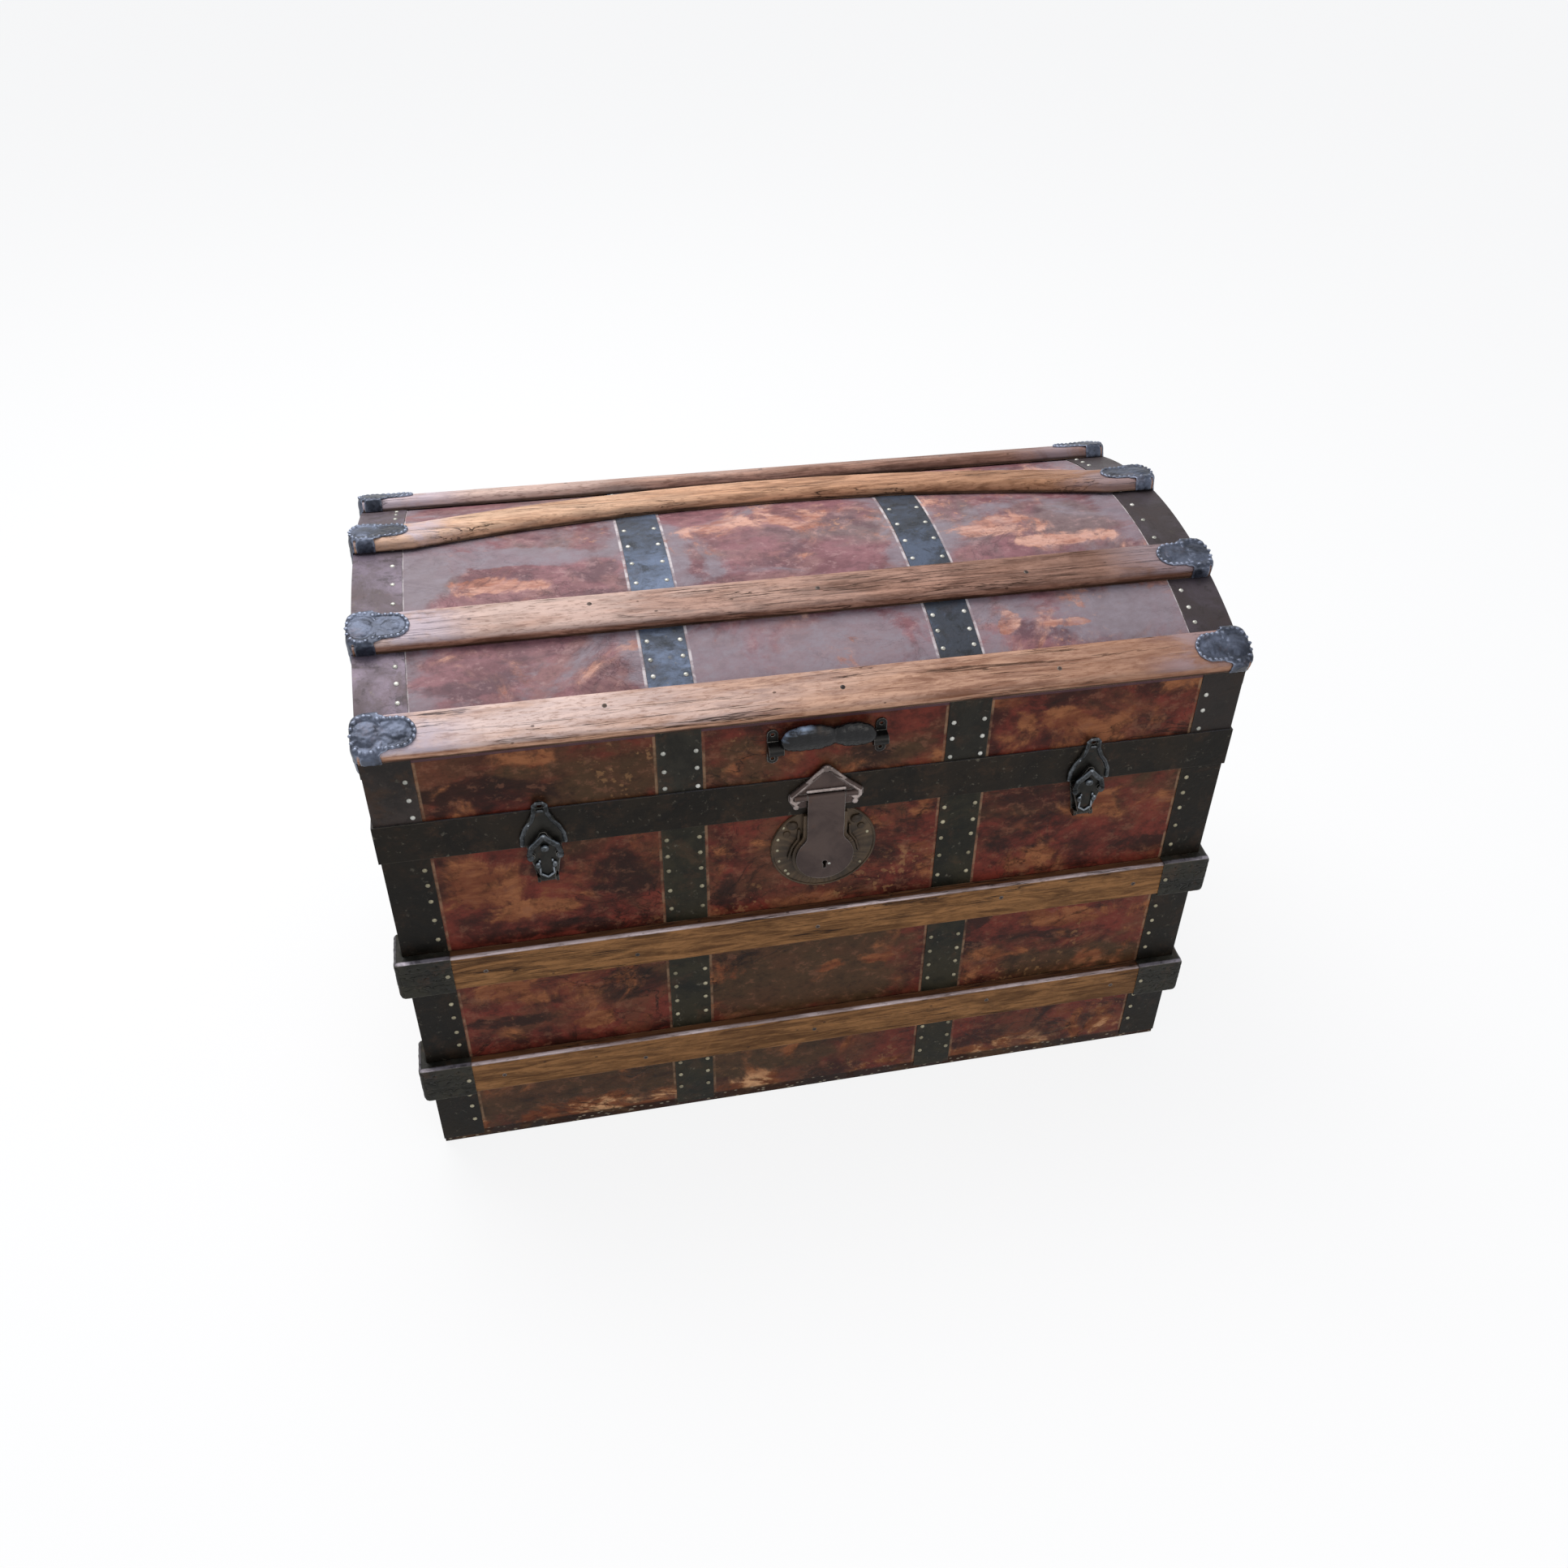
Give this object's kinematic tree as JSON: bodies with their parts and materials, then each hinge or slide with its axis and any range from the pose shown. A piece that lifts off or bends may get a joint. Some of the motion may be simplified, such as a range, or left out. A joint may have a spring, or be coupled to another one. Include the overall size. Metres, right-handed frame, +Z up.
{
  "type": "trunk",
  "caption": "Antique low-domed wooden trunk with metal straps, wooden slats in iron clamps, hinged lid, hasp lock, draw latches and leather handles.",
  "frame": {"origin": "on the floor, at the middle of the base", "axes": "+Z up, +X along the trunk's length, the front with the lock faces -Y"},
  "size_m": [0.918, 0.4885, 0.6223],
  "materials": {
    "panel_wood": "worn dark red paint over softwood boards",
    "slat_wood": "oiled hardwood, worn and scratched",
    "bare_wood": "bare aged softwood",
    "binding_metal": "dark olive-black paint on sheet steel, rubbed",
    "clamp_iron": "dark aged iron, rubbed bright on the edges",
    "cap_iron": "dark aged iron",
    "lock_steel": "brown-grey tarnished steel",
    "latch_steel": "dark tarnished steel",
    "hinge_steel": "dark tarnished steel",
    "grip_leather": "black polished leather"
  },
  "bodies": {
    "case": {"back_board": "panel_wood", "bottom_board": "bare_wood", "corner_binding_back_left": "binding_metal", "corner_binding_back_right": "binding_metal", "corner_binding_front_left": "binding_metal", "corner_binding_front_right": "binding_metal", "end_board_left": "panel_wood", "end_board_right": "panel_wood", "end_handle_caps_left": "cap_iron", "end_handle_caps_right": "cap_iron", "front_board": "panel_wood", "hinge_leaves_case": "hinge_steel", "hinge_pins": "hinge_steel", "latch_base_left": "latch_steel", "latch_base_right": "latch_steel", "lock_case": "lock_steel", "lock_plate": "lock_steel", "slat_back_lower": "slat_wood", "slat_back_upper": "slat_wood", "slat_clamps_left": "clamp_iron", "slat_clamps_right": "clamp_iron", "slat_front_lower": "slat_wood", "slat_front_upper": "slat_wood", "strap_back_left": "binding_metal", "strap_back_right": "binding_metal", "strap_front_left": "binding_metal", "strap_front_right": "binding_metal", "tray_cleat_left": "bare_wood", "tray_cleat_right": "bare_wood"},
    "lid": {"hasp_pin": "lock_steel", "hasp_plate": "lock_steel", "hinge_leaves_lid": "hinge_steel", "latch_keeper_left": "latch_steel", "latch_keeper_right": "latch_steel", "lid_back_rail": "panel_wood", "lid_clamps_left": "clamp_iron", "lid_clamps_right": "clamp_iron", "lid_corner_bindings_left": "binding_metal", "lid_corner_bindings_right": "binding_metal", "lid_end_binding_left": "binding_metal", "lid_end_binding_right": "binding_metal", "lid_end_left": "panel_wood", "lid_end_right": "panel_wood", "lid_front_rail": "panel_wood", "lid_handle_caps": "cap_iron", "lid_rim_band": "binding_metal", "lid_slat_back": "slat_wood", "lid_slat_front": "slat_wood", "lid_slat_upper_back": "slat_wood", "lid_slat_upper_front": "slat_wood", "lid_strap_left": "binding_metal", "lid_strap_right": "binding_metal", "lid_top": "panel_wood"},
    "hasp": {"hasp": "lock_steel"},
    "latch_lever_left": {"latch_lever_left": "latch_steel"},
    "latch_lever_right": {"latch_lever_right": "latch_steel"},
    "lid_handle": {"lid_handle": "grip_leather"},
    "end_handle_left": {"end_handle_left": "grip_leather"},
    "end_handle_right": {"end_handle_right": "grip_leather"},
    "lock_bolt": {"lock_bolt": "lock_steel"}
  },
  "joints": [
    {"name": "lid_hinge", "type": "hinge", "parent": "case", "child": "lid", "pos_m": [0, 0.2329, 0.432], "axis": [-1, 0, 0], "range_deg": [0, 100]},
    {"name": "hasp_hinge", "type": "hinge", "parent": "lid", "child": "hasp", "pos_m": [0, -0.2346, 0.456], "axis": [-1, 0, 0], "range_deg": [0, 130]},
    {"name": "latch_left_turn", "type": "hinge", "parent": "case", "child": "latch_lever_left", "pos_m": [-0.278, -0.2337, 0.392], "axis": [1, 0, 0], "range_deg": [0, 150]},
    {"name": "latch_right_turn", "type": "hinge", "parent": "case", "child": "latch_lever_right", "pos_m": [0.278, -0.2337, 0.392], "axis": [1, 0, 0], "range_deg": [0, 150]},
    {"name": "lid_handle_swing", "type": "hinge", "parent": "lid", "child": "lid_handle", "pos_m": [0, -0.236, 0.521], "axis": [1, 0, 0], "range_deg": [0, 90]},
    {"name": "end_handle_left_swing", "type": "hinge", "parent": "case", "child": "end_handle_left", "pos_m": [-0.439, 0, 0.336], "axis": [0, 1, 0], "range_deg": [0, 80]},
    {"name": "end_handle_right_swing", "type": "hinge", "parent": "case", "child": "end_handle_right", "pos_m": [0.439, 0, 0.336], "axis": [0, -1, 0], "range_deg": [0, 80]},
    {"name": "bolt_slide", "type": "slide", "parent": "case", "child": "lock_bolt", "axis": [1, 0, 0], "range_m": [0, 0.014]}
  ]
}
